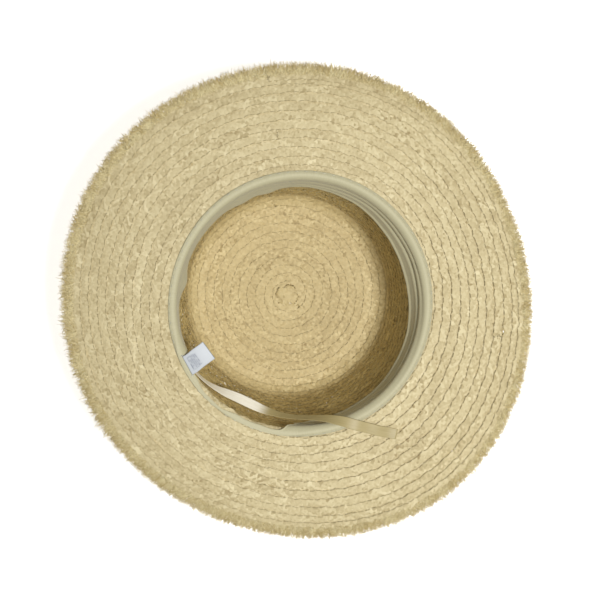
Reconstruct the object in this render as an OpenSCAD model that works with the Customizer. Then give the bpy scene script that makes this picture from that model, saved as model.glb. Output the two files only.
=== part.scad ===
// Straw sun hat of sewn raffia braid, lying on its crown with the head opening up.
// Origin: centre of the crown tip's outer face. +Z: up, out of the head opening.
// -Y: the back of the hat, where the label and the sizing ribbon are.

/* [Size] */
// Head girth, measured inside the sweatband
head_girth = 560; // [540:2:600]
// Depth of the crown, from its tip to the headline
crown_depth = 95; // [85:1:110]
// Width of the sewn brim, from the headline to the last row of braid
brim_w = 77; // [50:1:100]
// Length of the frayed fibres past the last row of braid
fringe_w = 9; // [4:0.5:14]

/* [Braid] */
// Spacing of the sewn rows
row_pitch = 6.8; // [5:0.1:9]
// Thickness of one row of braid
braid_t = 1.9; // [1.2:0.1:3]
// How far each row's inner edge stands above the row before it
row_step = 1.1; // [0.4:0.1:1.6]
// Diameter of the sewing thread
thread_d = 0.4; // [0.2:0.1:0.8]

/* [Crown] */
// Lean of the crown's side from upright, in degrees
side_lean = 8.5; // [3:0.5:14]
// Radius of the shoulder between the tip and the side
shoulder_r = 14; // [10:1:22]
// Radius of the turn from the side to the brim
headline_r = 3; // [3:0.5:8]

/* [Brim] */
// Slope of the brim where it leaves the headline, in degrees below level
brim_slope = 6; // [0:1:12]
// Further droop of the brim's inner part, in degrees
inner_droop = 4; // [0:1:8]
// Further droop of the brim's outer part, in degrees
outer_droop = 8; // [0:1:12]

/* [Sweatband] */
// Width of the grosgrain ribbon
band_w = 27; // [22:1:40]
// Thickness of the grosgrain ribbon
band_t = 0.7; // [0.4:0.1:1.2]
// How far the sweatband laps onto the brim, past the turn
band_lap = 1.5; // [1:0.5:4]
// Number of stitches round the sweatband
band_stitches = 90; // [60:6:120]

/* [Label] */
// Width of the care label
label_w = 15.5; // [12:0.5:22]
// Length of the care label, from its seam to its fold
label_l = 20; // [14:0.5:26]
// Thickness of the folded label
label_t = 0.6; // [0.4:0.1:1]
// Place of the label round the hat, in degrees
label_az = 270; // [262:1:274]

/* [Sizing ribbon] */
// Width of the satin ribbon
ribbon_w = 8; // [6:0.5:10]
// Thickness of the satin ribbon
ribbon_t = 0.5; // [0.3:0.1:0.8]

/* [Hidden] */
$fn = 120;

straw = [0.80, 0.72, 0.52];
frayed_straw = [0.74, 0.64, 0.42];
grosgrain = [0.76, 0.75, 0.65];
satin = [0.88, 0.84, 0.74];
white_thread = [0.86, 0.84, 0.78];
label_white = [0.90, 0.90, 0.88];

fit_gap = 0.1;                       // between soft layers that lie on each other
step_high = (braid_t + row_step) / 2; // height of a row's inner edge above the middle surface
step_low = (braid_t - row_step) / 2;  // height of its outer edge
turn_steps = 3;                      // straight pieces that a row takes round a bend

// The middle surface of the braid is one line from the tip's centre to the brim's edge:
// straight and curved legs, each [length, turn in degrees].
run_h = [step_high + 2 * fit_gap, step_high + 2 * fit_gap + ribbon_t];
tack_h = [run_h[1], run_h[1] + thread_d];
band_h = [tack_h[1] + fit_gap, tack_h[1] + fit_gap + band_t];
side_angle = 90 - side_lean;
shoulder_l = shoulder_r * side_angle * PI / 180;
shoulder_rise = shoulder_r * (1 - cos(side_angle));
turn_angle = side_angle + brim_slope;
turn_l = headline_r * turn_angle * PI / 180;
turn_rise = headline_r * (cos(brim_slope) - cos(side_angle));
side_l = (crown_depth - shoulder_rise - turn_rise) / sin(side_angle);
girth_below_turn = 16;               // where the head girth is measured
tip_r = head_girth / (2 * PI) + band_h[1] / cos(side_lean)
        - (side_l - girth_below_turn) * cos(side_angle) - shoulder_r * sin(side_angle);
outer_share = 0.38;                  // of the brim, droops more
legs = [[tip_r, 0],
        [shoulder_l, side_angle],
        [side_l, 0],
        [turn_l, -turn_angle],
        [brim_w * (1 - outer_share), -inner_droop],
        [brim_w * outer_share, -outer_droop],
        [fringe_w, -outer_droop / 2]];

// A leg's point and heading, d along it from its start at p.
function along(p, heading, leg, d) =
    leg[1] == 0
    ? p + d * [cos(heading), sin(heading)]
    : let (bend_r = leg[0] * 180 / (PI * leg[1]), now = heading + leg[1] * d / leg[0])
      p + bend_r * [sin(now) - sin(heading), cos(heading) - cos(now)];
// Each leg's start: [point, heading, distance from the tip's centre].
function leg_start(i) =
    i == 0
    ? [[0, step_high], 0, 0]
    : let (q = leg_start(i - 1), leg = legs[i - 1])
      [along(q[0], q[1], leg, leg[0]), q[1] + leg[1], q[2] + leg[0]];
starts = [for (i = [0:len(legs) - 1]) leg_start(i)];
function leg_of(s) = max([for (i = [0:len(legs) - 1]) if (s >= starts[i][2] || i == 0) i]);
// [radius, height] at distance s from the tip's centre, h above the middle surface, on the head's side.
function on_hat(s, h) =
    let (i = leg_of(s), q = starts[i], d = s - q[2], now = q[1] + legs[i][1] * d / legs[i][0])
    along(q[0], q[1], legs[i], d) + h * [-sin(now), cos(now)];

side_start = starts[2][2];
turn_start = starts[3][2];
brim_start = starts[4][2];
brim_end = brim_start + brim_w;
last_row = round(brim_end / row_pitch);
button_rows = 1;
tip_rows = round((tip_r + shoulder_l * 0.3) / row_pitch);
side_rows = round((turn_start + turn_l * 0.5) / row_pitch);

band_outer = brim_start + band_lap;
band_free = band_outer - band_w;

// Saw-tooth section of rows a to b: each row starts high, over the end of the row before it.
function row_face(a, b) =
    [for (i = [a:b - 1], k = [0:turn_steps])
        on_hat((i + k / turn_steps) * row_pitch, step_high - row_step * k / turn_steps)];
function row_back(a, b) =
    [for (i = [b - 1:-1:a], k = [turn_steps:-1:0])
        on_hat((i + k / turn_steps) * row_pitch, -step_low - row_step * k / turn_steps)];
module rows(a, b) {
    rotate_extrude() polygon(concat(row_face(a, b), row_back(a, b)));
}

// Layer of cloth that follows the surface from s1 to s2, between heights h[0] and h[1].
layer_steps = 14;
function layer(s1, s2, h) =
    concat([for (k = [0:layer_steps]) on_hat(s1 + (s2 - s1) * k / layer_steps, h[1])],
           [for (k = [layer_steps:-1:0]) on_hat(s1 + (s2 - s1) * k / layer_steps, h[0])]);

module tip_button() {
    dome = 1.2;
    color(straw) rotate_extrude()
        polygon([[0, 0], [row_pitch, 0], on_hat(row_pitch, step_low),
                 on_hat(row_pitch * 0.6, step_high), on_hat(0, step_high + dome)]);
}

// The tip's outer face is pressed flat, so the hat stands on it.
module crown_tip() {
    flat_end = floor(tip_r / row_pitch);
    color(straw) rotate_extrude()
        polygon(concat(row_face(button_rows, tip_rows), row_back(flat_end, tip_rows),
                       [[flat_end * row_pitch, 0], [row_pitch, 0]]));
}

module crown_side() {
    color(straw) rows(tip_rows, side_rows);
}

module brim() {
    color(straw) rows(side_rows, last_row);
}

// The last row's fibres are frayed and stand out past the brim.
module edge_fringe() {
    s = last_row * row_pitch;
    root_h = 1.4;
    tip_h = 0.8;
    color(frayed_straw) rotate_extrude()
        polygon([on_hat(s, root_h), on_hat(s + fringe_w, tip_h), on_hat(s + fringe_w, -tip_h), on_hat(s, -root_h)]);
}

// One line of thread goes through each row where it lies over the row before it.
module row_stitching() {
    seam = 1.4;                      // from a row's inner edge
    clear = 0.06;
    function stitch_h(s) = step_high - row_step * (s / row_pitch - floor(s / row_pitch)) + clear;
    color(white_thread)
        for (i = [button_rows + 1:last_row - 1]) {
            s = i * row_pitch + seam;
            if (s + thread_d < band_free || s > band_outer)
                rotate_extrude()
                    polygon([on_hat(s, stitch_h(s)), on_hat(s + thread_d, stitch_h(s + thread_d)),
                             on_hat(s + thread_d, stitch_h(s + thread_d) + thread_d),
                             on_hat(s, stitch_h(s) + thread_d)]);
        }
}

module sweatband() {
    color(grosgrain) rotate_extrude() polygon(layer(band_free, band_outer, band_h));
}

// Row of short stitches along the sweatband's outer edge.
module sweatband_stitching() {
    stitch_l = 3;
    s = band_outer - 1.2;
    seat = on_hat(s, band_h[1]);
    color(white_thread)
        for (i = [0:band_stitches - 1]) {
            az = 360 * (i + 0.5) / band_stitches;
            clear_of_label = abs(az - label_az) > 8;
            if (clear_of_label)
                rotate([0, 0, az]) translate([seat[0], -stitch_l / 2, seat[1] + 0.05])
                    rotate([0, brim_slope, 0]) cube([thread_d, stitch_l, thread_d]);
        }
}

// The label is a strip folded double. It hinges on its seam at the sweatband's turn.
label_seat = on_hat(brim_start - 0.5, band_h[1]);
label_lift = 0.5;                    // over the sweatband, at the seam
hinge_r = label_seat[0];
hinge_z = label_seat[1] + label_lift;
label_tilt = 4;                      // the free end stands this much above level, in degrees
module at_label() {
    rotate([0, 0, label_az]) translate([hinge_r, 0, hinge_z]) children();
}
module care_label() {
    fold_r = label_t / 2;
    color(label_white) at_label() rotate([0, label_tilt, 0]) {
        translate([-label_l + fold_r, -label_w / 2, -label_t / 2])
            cube([label_l - fold_r, label_w, label_t]);
        translate([-label_l + fold_r, label_w / 2, 0]) rotate([90, 0, 0])
            cylinder(r = fold_r, h = label_w, $fn = 24);
    }
}

// Two stitches outside the label's sides tie its seam to the sweatband.
module label_stitches() {
    stitch_l = 2.4;
    color(white_thread) at_label()
        for (side = [-1, 1])
            translate([-stitch_l / 2, side * (label_w / 2 + 0.8) - thread_d / 2, -label_lift + 0.1])
                cube([stitch_l, thread_d, thread_d]);
}

// The ribbon's free end, from behind the sweatband's free edge to its cut end on the brim.
// Each point is [degrees round the hat, radius, height, lean]. Lean 0 is a ribbon on edge
// that faces the hat's axis, and 90 is a ribbon that lies flat and faces up.
ribbon_route = [[270, 90.7, 79.0, 8],
                [273, 90.7, 79.0, 8],
                [277, 90.1, 75.5, 8],
                [281, 89.4, 71.0, 8],
                [285, 88.5, 68.5, 12],
                [289, 87.0, 67.5, 24],
                [294, 85.0, 69.0, 44],
                [300, 83.4, 71.5, 58],
                [307, 83.0, 74.0, 60],
                [314, 83.6, 76.0, 54],
                [321, 84.4, 78.5, 44],
                [328, 85.2, 82.0, 36],
                [335, 86.0, 86.5, 32],
                [341, 87.4, 91.5, 36],
                [347, 90.2, 97.0, 50],
                [352, 94.5, 100.8, 70],
                [356, 100.0, 101.7, 84],
                [360, 106.5, 99.6, 90],
                [363, 112.0, 98.4, 90],
                [366, 117.5, 96.6, 90],
                [368, 121.5, 96.5, 88]];
function round_hat(p) = [p[1] * cos(p[0]), p[1] * sin(p[0]), p[2]];
function unit(v) = v / norm(v);
route = [for (p = ribbon_route) round_hat(p)];
route_n = len(route);
function heading_at(i) = unit(route[min(i + 1, route_n - 1)] - route[max(i - 1, 0)]);
function facing_at(i) =
    let (az = ribbon_route[i][0], lean = ribbon_route[i][3],
         face = [-cos(az) * cos(lean), -sin(az) * cos(lean), sin(lean)],
         go = heading_at(i))
    unit(face - (face * go) * go);
// Eight-sided flat section: wide across, thin along the facing, thinner at both edges.
ribbon_section = [[-0.5, 0.15], [-0.46, 0.5], [0.46, 0.5], [0.5, 0.15],
                  [0.5, -0.15], [0.46, -0.5], [-0.46, -0.5], [-0.5, -0.15]];
section_n = len(ribbon_section);
function ring_at(i) =
    let (face = facing_at(i), side = cross(heading_at(i), face))
    [for (q = ribbon_section) route[i] + side * q[0] * ribbon_w + face * q[1] * ribbon_t];
module sizing_ribbon_tail() {
    points = [for (i = [0:route_n - 1]) each ring_at(i)];
    walls = [for (i = [0:route_n - 2], k = [0:section_n - 1])
             let (a = i * section_n + k, b = i * section_n + (k + 1) % section_n)
             each (k < section_n / 2
                   ? [[a, b, b + section_n], [a, b + section_n, a + section_n]]
                   : [[a, b, a + section_n], [b, b + section_n, a + section_n]])];
    start_cap = [for (k = [section_n - 1:-1:0]) k];
    end_cap = [for (k = [0:section_n - 1]) (route_n - 1) * section_n + k];
    color(satin) polyhedron(points, concat(walls, [start_cap, end_cap]));
}

// The rest of the ribbon runs round the crown behind the sweatband, to a tack.
run_start = 330;                     // degrees, at the tack
run_angle = 300;                     // on to where the tail begins
run_s = band_free + 1.5;             // the ribbon's lower edge
module sizing_ribbon_run() {
    color(satin) rotate([0, 0, run_start]) rotate_extrude(angle = run_angle)
        polygon(layer(run_s, run_s + ribbon_w, run_h));
}

// Four stitches across the ribbon's fixed end.
module ribbon_tack() {
    stitch_l = 1.4;
    count = 4;
    color(white_thread)
        for (k = [0:count - 1]) {
            s = run_s + ribbon_w * (k + 0.5) / count;
            seat = on_hat(s, tack_h[0]);
            rotate([0, 0, run_start + 3]) translate([seat[0], -stitch_l / 2, seat[1]])
                rotate([0, side_lean, 0]) translate([-thread_d, 0, 0]) cube([thread_d, stitch_l, thread_d]);
        }
}

tip_button();
crown_tip();
crown_side();
brim();
edge_fringe();
row_stitching();
sweatband();
sweatband_stitching();
care_label();
label_stitches();
sizing_ribbon_tail();
sizing_ribbon_run();
ribbon_tack();
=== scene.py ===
"""Looks of a straw sun hat: sewn braid, frayed edge, sweatband, label and sizing ribbon.

The hat lies on its crown, so z is 0 at the tip's outer face and +Z points out of the head
opening. Sizes are in metres. The braid is plaited strand by strand along one spiral, from the
tip's centre to the brim's edge.
"""

import math

import bpy
import numpy as np
from bpy.props import FloatProperty, FloatVectorProperty, IntProperty, PointerProperty
from bpy.types import Operator, Panel, PropertyGroup
from mathutils import Matrix


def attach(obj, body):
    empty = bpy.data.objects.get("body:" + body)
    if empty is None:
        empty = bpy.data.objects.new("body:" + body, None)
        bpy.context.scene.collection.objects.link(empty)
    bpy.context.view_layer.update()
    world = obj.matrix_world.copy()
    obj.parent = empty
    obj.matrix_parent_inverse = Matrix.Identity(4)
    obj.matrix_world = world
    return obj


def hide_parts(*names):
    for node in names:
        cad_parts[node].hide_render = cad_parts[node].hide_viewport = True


bl_info = {
    "name": "Straw Sun Hat",
    "version": (1, 0, 0),
    "blender": (4, 5, 0),
    "location": "View3D > Sidebar > Straw Hat",
    "description": "Builds a sewn straw sun hat round its CAD frame",
    "category": "Object",
}

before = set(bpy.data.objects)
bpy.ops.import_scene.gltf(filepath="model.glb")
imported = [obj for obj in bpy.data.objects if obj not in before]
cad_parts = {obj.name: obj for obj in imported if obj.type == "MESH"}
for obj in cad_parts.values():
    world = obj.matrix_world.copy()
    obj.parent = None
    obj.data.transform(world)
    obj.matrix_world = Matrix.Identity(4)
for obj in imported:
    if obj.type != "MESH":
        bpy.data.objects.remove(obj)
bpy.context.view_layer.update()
MM = 0.001
TURN = 2 * math.pi

# Sizes that the frame is cut to, so that each piece lies on its own.
HEAD_GIRTH = 0.560
GIRTH_DEPTH = 16 * MM
CROWN_DEPTH = 95 * MM
BAND_W = 27 * MM
BAND_SEAM_R = 0.0995

# Half the width that the camera sees, at its usual distance from the head opening.
VIEW_HALF, VIEW_FROM = 0.225, 1.2

# The braid's middle line, whose legs are (length, turn in degrees) from the tip to the fringe.
ROW = 6.8 * MM
STEP_HIGH = 1.5 * MM
SIDE_LEAN = 8.5
BRIM_SLOPE = 6.0
SHOULDER_R = 14 * MM
HEADLINE_R = 3 * MM
BRIM_W = 77 * MM
FRINGE_W = 9 * MM
LAST_ROW = 37
SIDE_ANGLE = 90 - SIDE_LEAN
BAND_FACE = 3.4 * MM
TURN_ANGLE = SIDE_ANGLE + BRIM_SLOPE


def rad(degrees):
    return degrees * math.pi / 180


def linear(hex_colour):
    """sRGB hex to a linear (r, g, b, 1)."""
    c = np.array([int(hex_colour[i : i + 2], 16) / 255 for i in (1, 3, 5)])
    c = np.where(c <= 0.04045, c / 12.92, ((c + 0.055) / 1.055) ** 2.4)
    return (*[float(v) for v in c], 1.0)


WHITE = linear("#FFFFFF")
# Painted shade, multiplied into the crown's straw: warm, deeper tones that stand in for light
# bounced inside the crown, on its tip and up its side.
TIP_PAINTED_SHADE = linear("#FAF4E5")
SIDE_PAINTED_SHADE = linear("#F9EFCD")

SHOULDER_L = SHOULDER_R * rad(SIDE_ANGLE)
TURN_L = HEADLINE_R * rad(TURN_ANGLE)
SIDE_L = (
    CROWN_DEPTH
    - SHOULDER_R * (1 - math.cos(rad(SIDE_ANGLE)))
    - HEADLINE_R * (math.cos(rad(BRIM_SLOPE)) - math.cos(rad(SIDE_ANGLE)))
) / math.sin(rad(SIDE_ANGLE))
TIP_R = (
    HEAD_GIRTH / TURN
    + BAND_FACE / math.cos(rad(SIDE_LEAN))
    - (SIDE_L - GIRTH_DEPTH) * math.cos(rad(SIDE_ANGLE))
    - SHOULDER_R * math.sin(rad(SIDE_ANGLE))
)
LEGS = (
    (TIP_R, 0.0),
    (SHOULDER_L, SIDE_ANGLE),
    (SIDE_L, 0.0),
    (TURN_L, -TURN_ANGLE),
    (BRIM_W * 0.62, -4.0),
    (BRIM_W * 0.38, -8.0),
    (FRINGE_W * 2, -8.0),
)
TURN_START = TIP_R + SHOULDER_L + SIDE_L
BRIM_START = TURN_START + TURN_L
BAND_OUTER = BRIM_START + 1.5 * MM
BAND_FREE = BAND_OUTER - BAND_W
SPIRAL_START = rad(200)
TIP_ROWS = 11
SIDE_ROWS = 25

# Ribbon's route: degrees round the hat, radius and height in mm, and how far it leans back.
RIBBON_ROUTE = (
    (270, 90.7, 79.0, 8), (273, 90.7, 79.0, 8), (277, 90.1, 75.5, 8), (281, 89.4, 71.0, 8),
    (285, 88.5, 68.5, 12), (289, 87.0, 67.5, 24), (294, 85.0, 69.0, 44), (300, 83.4, 71.5, 58),
    (307, 83.0, 74.0, 60), (314, 83.6, 76.0, 46), (321, 84.4, 78.5, 28), (328, 85.2, 82.0, 20),
    (335, 86.0, 86.5, 18), (341, 87.4, 91.5, 24), (347, 90.2, 97.0, 42), (352, 94.5, 100.8, 68),
    (356, 100.0, 101.7, 84), (360, 106.5, 99.6, 90), (363, 112.0, 98.4, 90),
    (366, 117.5, 96.6, 90), (368, 121.5, 96.5, 88),
)


# ---- shape


def on_hat(s, h):
    """Radius, height, heading at s along the middle line and h off it, on the head's side.

    Each leg is an arc or a straight: p = p0 + R (sin a - sin a0, cos a0 - cos a), or p0 + d
    (cos a, sin a). The offset is h (-sin a, cos a).
    """
    s, h = np.broadcast_arrays(np.asarray(s, float), np.asarray(h, float))
    x, z, heading = (np.zeros(s.shape) for _ in range(3))
    x0, z0, a0, s0 = 0.0, STEP_HIGH, 0.0, 0.0
    for length, bend in LEGS:
        on = s >= s0
        d = np.where(on, s - s0, 0)
        a = a0 + rad(bend) * d / length
        if bend:
            r = length / rad(bend)
            lx, lz = x0 + r * (np.sin(a) - math.sin(a0)), z0 + r * (math.cos(a0) - np.cos(a))
            a1 = a0 + rad(bend)
            x1 = x0 + r * (math.sin(a1) - math.sin(a0))
            z1 = z0 + r * (math.cos(a0) - math.cos(a1))
        else:
            lx, lz = x0 + d * math.cos(a0), z0 + d * math.sin(a0)
            a1, x1, z1 = a0, x0 + length * math.cos(a0), z0 + length * math.sin(a0)
        x, z = np.where(on, lx - h * np.sin(a), x), np.where(on, lz + h * np.cos(a), z)
        heading = np.where(on, a, heading)
        x0, z0, a0, s0 = x1, z1, a1, s0 + length
    return x, z, heading


def ease(v, lo, hi):
    """0 below lo, 1 above hi, and 3t^2 - 2t^3 between."""
    t = np.clip((v - lo) / (hi - lo), 0, 1)
    return t * t * (3 - 2 * t)


def bell(az, centre, width):
    """exp(-(d / width)^2), where d is the shorter way round from centre, all in radians."""
    off = (az - centre + math.pi) % TURN - math.pi
    return np.exp(-((off / width) ** 2))


def settle(p):
    """The hat's unevenness, the same for every piece: p moves out by dr and up by dz.

    The brim reaches further out by four cosines of the angle, the crown's side bulges by one,
    the head opening is a little out of round, and the brim waves by three cosines that grow
    with radius.
    """
    az, r, z = np.arctan2(p[..., 1], p[..., 0]), np.hypot(p[..., 0], p[..., 1]), p[..., 2]
    out = ease(r, 0.100, 0.172)
    wall = ease(r, 0.070, 0.086) * ease(z, 0.010, 0.060) * (1 - out)
    wall = wall * (1 - 0.65 * ease(z, 0.074, 0.096))
    reach = 1.8 + 3.5 * np.cos(az - rad(32)) + 4.0 * np.cos(2 * az - rad(30))
    reach = reach + 1.9 * np.cos(3 * az - rad(30)) + 0.8 * np.cos(4 * az - rad(80))
    bulge = 1.3 + 3.2 * np.cos(az - rad(300)) + 0.5 * np.cos(4 * az)
    round_off = 0.8 * bell(az, rad(130), rad(26)) * ease(z, 0.070, 0.092) * (1 - out)
    dr = MM * (reach * out + bulge * wall + round_off)
    wave = 1.6 * np.cos(2 * az + 0.6) + 1.1 * np.cos(3 * az + 2.1) + 0.7 * np.cos(5 * az + 0.4)
    dz = MM * wave * out
    scale = 1 + dr / np.maximum(r, 1e-6)
    return np.stack([p[..., 0] * scale, p[..., 1] * scale, z + dz], -1)


def round_hat(s, h, az):
    """Point at s, h of the hat's section, turned to az, with the hat's unevenness.

    Beside the ribbon's exit the crown's side is pushed out, by a bell of angle, into a pocket.
    """
    r, z, _ = on_hat(s, h)
    pocket = ease(z, 0.035, 0.065) * (1 - ease(z, 0.080, 0.094)) * (1 - ease(r, 0.095, 0.101))
    r = r + 1.5 * MM * bell(az, rad(300), rad(19)) * pocket
    return settle(np.stack([r * np.cos(az), r * np.sin(az), z], -1))


def unit(v):
    return v / np.maximum(np.linalg.norm(v, axis=-1, keepdims=True), 1e-12)


# ---- mesh


def make_piece(name, verts, quads, uv=None, tint=None, tris=()):
    """One object from whole arrays: verts (n, 3), quads (m, 4), tris (k, 3), loop UVs, tints."""
    tris = np.reshape(tris, (-1, 3))
    loops = np.concatenate([quads.ravel(), tris.ravel()]).astype(np.int32)
    sizes = np.repeat([4, 3], [len(quads), len(tris)])
    mesh = bpy.data.meshes.new(name)
    mesh.vertices.add(len(verts))
    mesh.vertices.foreach_set("co", np.ascontiguousarray(verts, np.float32).ravel())
    mesh.loops.add(len(loops))
    mesh.loops.foreach_set("vertex_index", loops)
    mesh.polygons.add(len(sizes))
    mesh.polygons.foreach_set("loop_start", np.r_[0, np.cumsum(sizes)[:-1]].astype(np.int32))
    mesh.polygons.foreach_set("use_smooth", np.ones(len(sizes), bool))
    if uv is not None:
        layer = mesh.uv_layers.new(name="along_across")
        layer.data.foreach_set("uv", np.ascontiguousarray(uv, np.float32).ravel())
    if tint is not None:
        mesh.attributes.new("tint", "FLOAT", "POINT").data.foreach_set(
            "value", np.ascontiguousarray(tint, np.float32).ravel()
        )
    mesh.update(calc_edges=True)
    mesh.validate()
    obj = bpy.data.objects.new(name, mesh)
    bpy.context.scene.collection.objects.link(obj)
    return obj


def strands_to_piece(name, centre, side, up, wide, thick, tint, section):
    """Closed tubes from k centre lines of n points: ring point = c + side w x + up t y.

    section is the ring's points in order, as (x, y, 1 for a sharp edge or 0). The ends are
    closed with their own ring.
    """
    k, n, _ = centre.shape
    m = len(section)
    sx, sy, crease = np.array(section).T
    ring = (
        centre[:, :, None]
        + side[:, :, None] * (wide[:, :, None] * sx)[..., None]
        + up[:, :, None] * (thick[:, :, None] * sy)[..., None]
    )
    base = (np.arange(k)[:, None, None] * n + np.arange(n - 1)[None, :, None]) * m
    j = np.arange(m)
    a, b = base + j, base + (j + 1) % m
    quads = np.stack([a, b, b + m, a + m], -1).reshape(-1, 4)
    run = np.concatenate(
        [np.zeros((k, 1)), np.cumsum(np.linalg.norm(np.diff(centre, axis=1), axis=-1), 1)], 1
    )
    u0 = np.broadcast_to(run[:, :-1, None], a.shape)
    u1 = np.broadcast_to(run[:, 1:, None], a.shape)
    v0 = np.broadcast_to(j / m, a.shape) + np.arange(k)[:, None, None] * 0.37
    v1 = v0 + 1 / m
    uv = np.stack(
        [np.stack(q, -1) for q in ((u0, v0), (u0, v1), (u1, v1), (u1, v0))], -2
    ).reshape(-1, 2)
    starts, ends = np.arange(k) * n * m, (np.arange(k) * n + n - 1) * m
    caps = np.concatenate([starts[:, None] + j[::-1], ends[:, None] + j])
    tints = np.repeat(tint.reshape(-1), m)
    tris = np.concatenate([caps[:, [0, i, i + 1]] for i in range(1, m - 1)])
    uv = np.concatenate([uv, np.zeros((tris.size, 2))])
    obj = make_piece(name, ring.reshape(-1, 3), quads, uv, tints, tris)
    mark_creases(obj.data, m, crease > 0)
    return obj


def mark_creases(mesh, m, crease):
    """Sharpens the lengthwise edges of tubes with m points a ring, where crease is true."""
    ends = np.empty(2 * len(mesh.edges), np.int32)
    mesh.edges.foreach_get("vertices", ends)
    j = ends.reshape(-1, 2) % m
    sharp = (j[:, 0] == j[:, 1]) & crease[j[:, 0]]
    mesh.attributes.new("sharp_edge", "BOOLEAN", "EDGE").data.foreach_set("value", sharp)


def skin_piece(name, front, back, scale_uv, close_u):
    """Closed thin sheet from two (i, j) grids of points, front and back, joined at the edges.

    Point (i, j) has the number i nj + j, and ni nj more on the back. With close_u, i runs in a
    ring. UV is (i, j) times scale_uv, in metres.
    """
    ni, nj, _ = front.shape
    verts = np.concatenate([front.reshape(-1, 3), back.reshape(-1, 3)])
    i, j = np.arange(ni if close_u else ni - 1)[:, None], np.arange(nj - 1)[None]
    square = ((i, j), (i + 1, j), (i + 1, j + 1), (i, j + 1))
    patches = [(square, (0, 0, 0, 0), False), (square, (1, 1, 1, 1), True)]
    for row, flip in ((0, False), (nj - 1, True)):
        patches.append((((i, row), (i, row), (i + 1, row), (i + 1, row)), (0, 1, 1, 0), flip))
    for col, flip in () if close_u else ((0, True), (ni - 1, False)):
        patches.append((((col, j), (col, j), (col, j + 1), (col, j + 1)), (0, 1, 1, 0), flip))
    quads, uvs = [], []
    for corners, sides, flip in patches:
        at = np.array([[v.ravel() for v in np.broadcast_arrays(*c)] for c in corners])
        quad = (at[:, 0] % ni * nj + at[:, 1]).T + np.array(sides) * ni * nj
        order = slice(None, None, -1 if flip else 1)
        quads.append(quad[:, order])
        uvs.append(at.transpose(2, 0, 1)[:, order])
    uv = np.concatenate(uvs).reshape(-1, 2) * np.array(scale_uv)
    return make_piece(name, verts, np.concatenate(quads), uv)


# Sections of strands and threads: points (x, y, 1 for a sharp edge or 0) round a ring.
LENS = ((-1, 0, 1), (0, -1, 0), (1, 0, 1), (0, 1, 0))
CORD = ((-1, 0, 0), (0, -1, 0), (1, 0, 0), (0, 1, 0))
BLADE = ((-1, -0.5, 1), (1, -0.5, 1), (0, 1, 1))
FLAT = (
    (-1, 0.3, 0), (-1, -0.3, 0), (-0.92, -1, 1), (0.92, -1, 1),
    (1, -0.3, 0), (1, 0.3, 0), (0.92, 1, 1), (-0.92, 1, 1),
)


def drift(rng, count, n, spacing):
    """Slow random numbers, one row for each strand: straight lines between random knots."""
    knots = np.arange(0, n + spacing, spacing)
    values = rng.normal(0, 1, (count, len(knots)))
    at = np.arange(n) / spacing
    low = np.floor(at).astype(int)
    return values[:, low] + (values[:, low + 1] - values[:, low]) * (at - low)


def plait(place, start, length, braid, rng):
    """Strands of a flat plait along a strip: place(t, u, h) gives its points.

    Strand i of N runs edge to edge as a triangle wave of t / L + i / N. It goes over and
    under at each crossing, which are L / 2N apart, and level at the edges where it folds.
    Each strand wanders, narrows and twists a little, as torn raffia does.
    """
    count = braid.strands
    step = braid.plait_length / (2 * count)
    first, last = int(round(start / step)), int(round((start + length) / step))
    t = np.arange(first, last + 1) * step
    n = len(t)
    phase = t[None] / braid.plait_length + np.arange(count)[:, None] / count
    across = (braid.braid_width - braid.strand_width) / 2 * (1 - 4 * np.abs(phase % 1 - 0.5))
    levels = [0] + [-1, 1] * (count // 2) + [0]
    over = np.interp((phase * 2 * count) % count, range(count + 1), levels)
    slow, colour, bend = (drift(rng, count, n, spacing) for spacing in (11, 26, 5))
    across = across + MM * (0.14 * slow + rng.normal(0, 0.09, (count, n)))
    height = over * braid.strand_thick * 0.5 * (1 + rng.normal(0, 0.40, (count, n)))
    height = height + 0.06 * MM * bend
    tt = t + rng.normal(0, 0.16 * step, (count, n))
    centre = place(tt, across, height)
    up = unit(place(tt, across, height + 0.2 * MM) - centre)
    along = unit(np.gradient(centre, axis=1))
    up = unit(up - along * np.sum(up * along, -1, keepdims=True))
    side = np.cross(along, up)
    twist = (0.13 * drift(rng, count, n, 3))[..., None]
    side, up = side * np.cos(twist) + up * np.sin(twist), up * np.cos(twist) - side * np.sin(twist)
    wide = braid.strand_width / 2 * np.clip(1 + 0.12 * slow + 0.09 * bend, 0.85, 1.3)
    thick = braid.strand_thick / 2 * (1 + rng.normal(0, 0.15, (count, n)))
    tint = 0.5 + 0.13 * colour + 0.08 * bend + rng.normal(0, 0.07, (count, n))
    return centre, side, up, wide, thick, np.clip(tint, 0, 1)


def spiral(turns, braid):
    """Distance from the tip's centre to the strip's middle: a row further out each turn.

    Over the last turn the pitch eases to nothing, so the brim's edge is round.
    """
    n = np.asarray(turns, float)
    last = np.clip(n - (LAST_ROW - 1), 0, None)
    return ROW * (n - 0.5 - last * last / 2) + braid.braid_width / 2


def strip_table(braid):
    """Turns and the strip's length from its start, by adding up r times the angle."""
    n = np.linspace(0.55, LAST_ROW, 20000)
    r = on_hat(spiral(n, braid), 0)[0]
    length = np.r_[0, np.cumsum((r[1:] + r[:-1]) / 2 * np.diff(n) * TURN)]
    return n, length


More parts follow.
